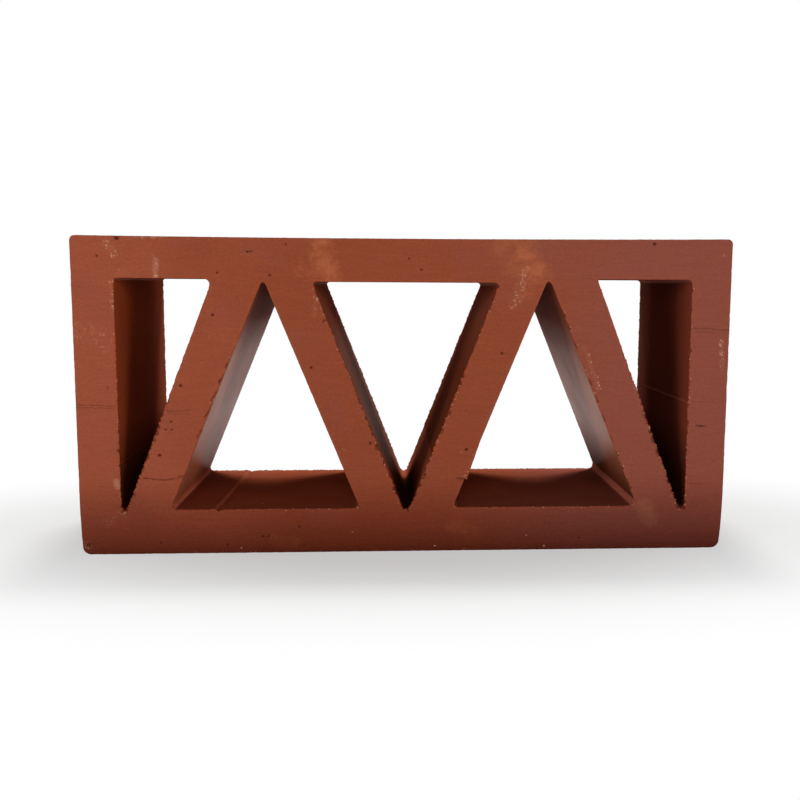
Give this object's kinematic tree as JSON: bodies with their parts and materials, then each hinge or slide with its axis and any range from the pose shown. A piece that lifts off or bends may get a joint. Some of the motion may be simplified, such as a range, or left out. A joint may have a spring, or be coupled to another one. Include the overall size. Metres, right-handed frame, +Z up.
{
  "type": "terracotta breeze block",
  "caption": "Pierced fired-clay screen block: a rectangular frame with slanting webs that leave triangular openings right through, for ventilated walls.",
  "frame": {"origin": "middle of the underside, on the floor that the block stands on", "axes": "+X along the block's length, +Y from the front cut face to the back one, +Z up"},
  "size_m": [0.29, 0.09, 0.142],
  "materials": {
    "terracotta": "matt, unglazed fired clay, wire-cut on front and back"
  },
  "bodies": {
    "root": {"block": "terracotta"}
  },
  "joints": []
}
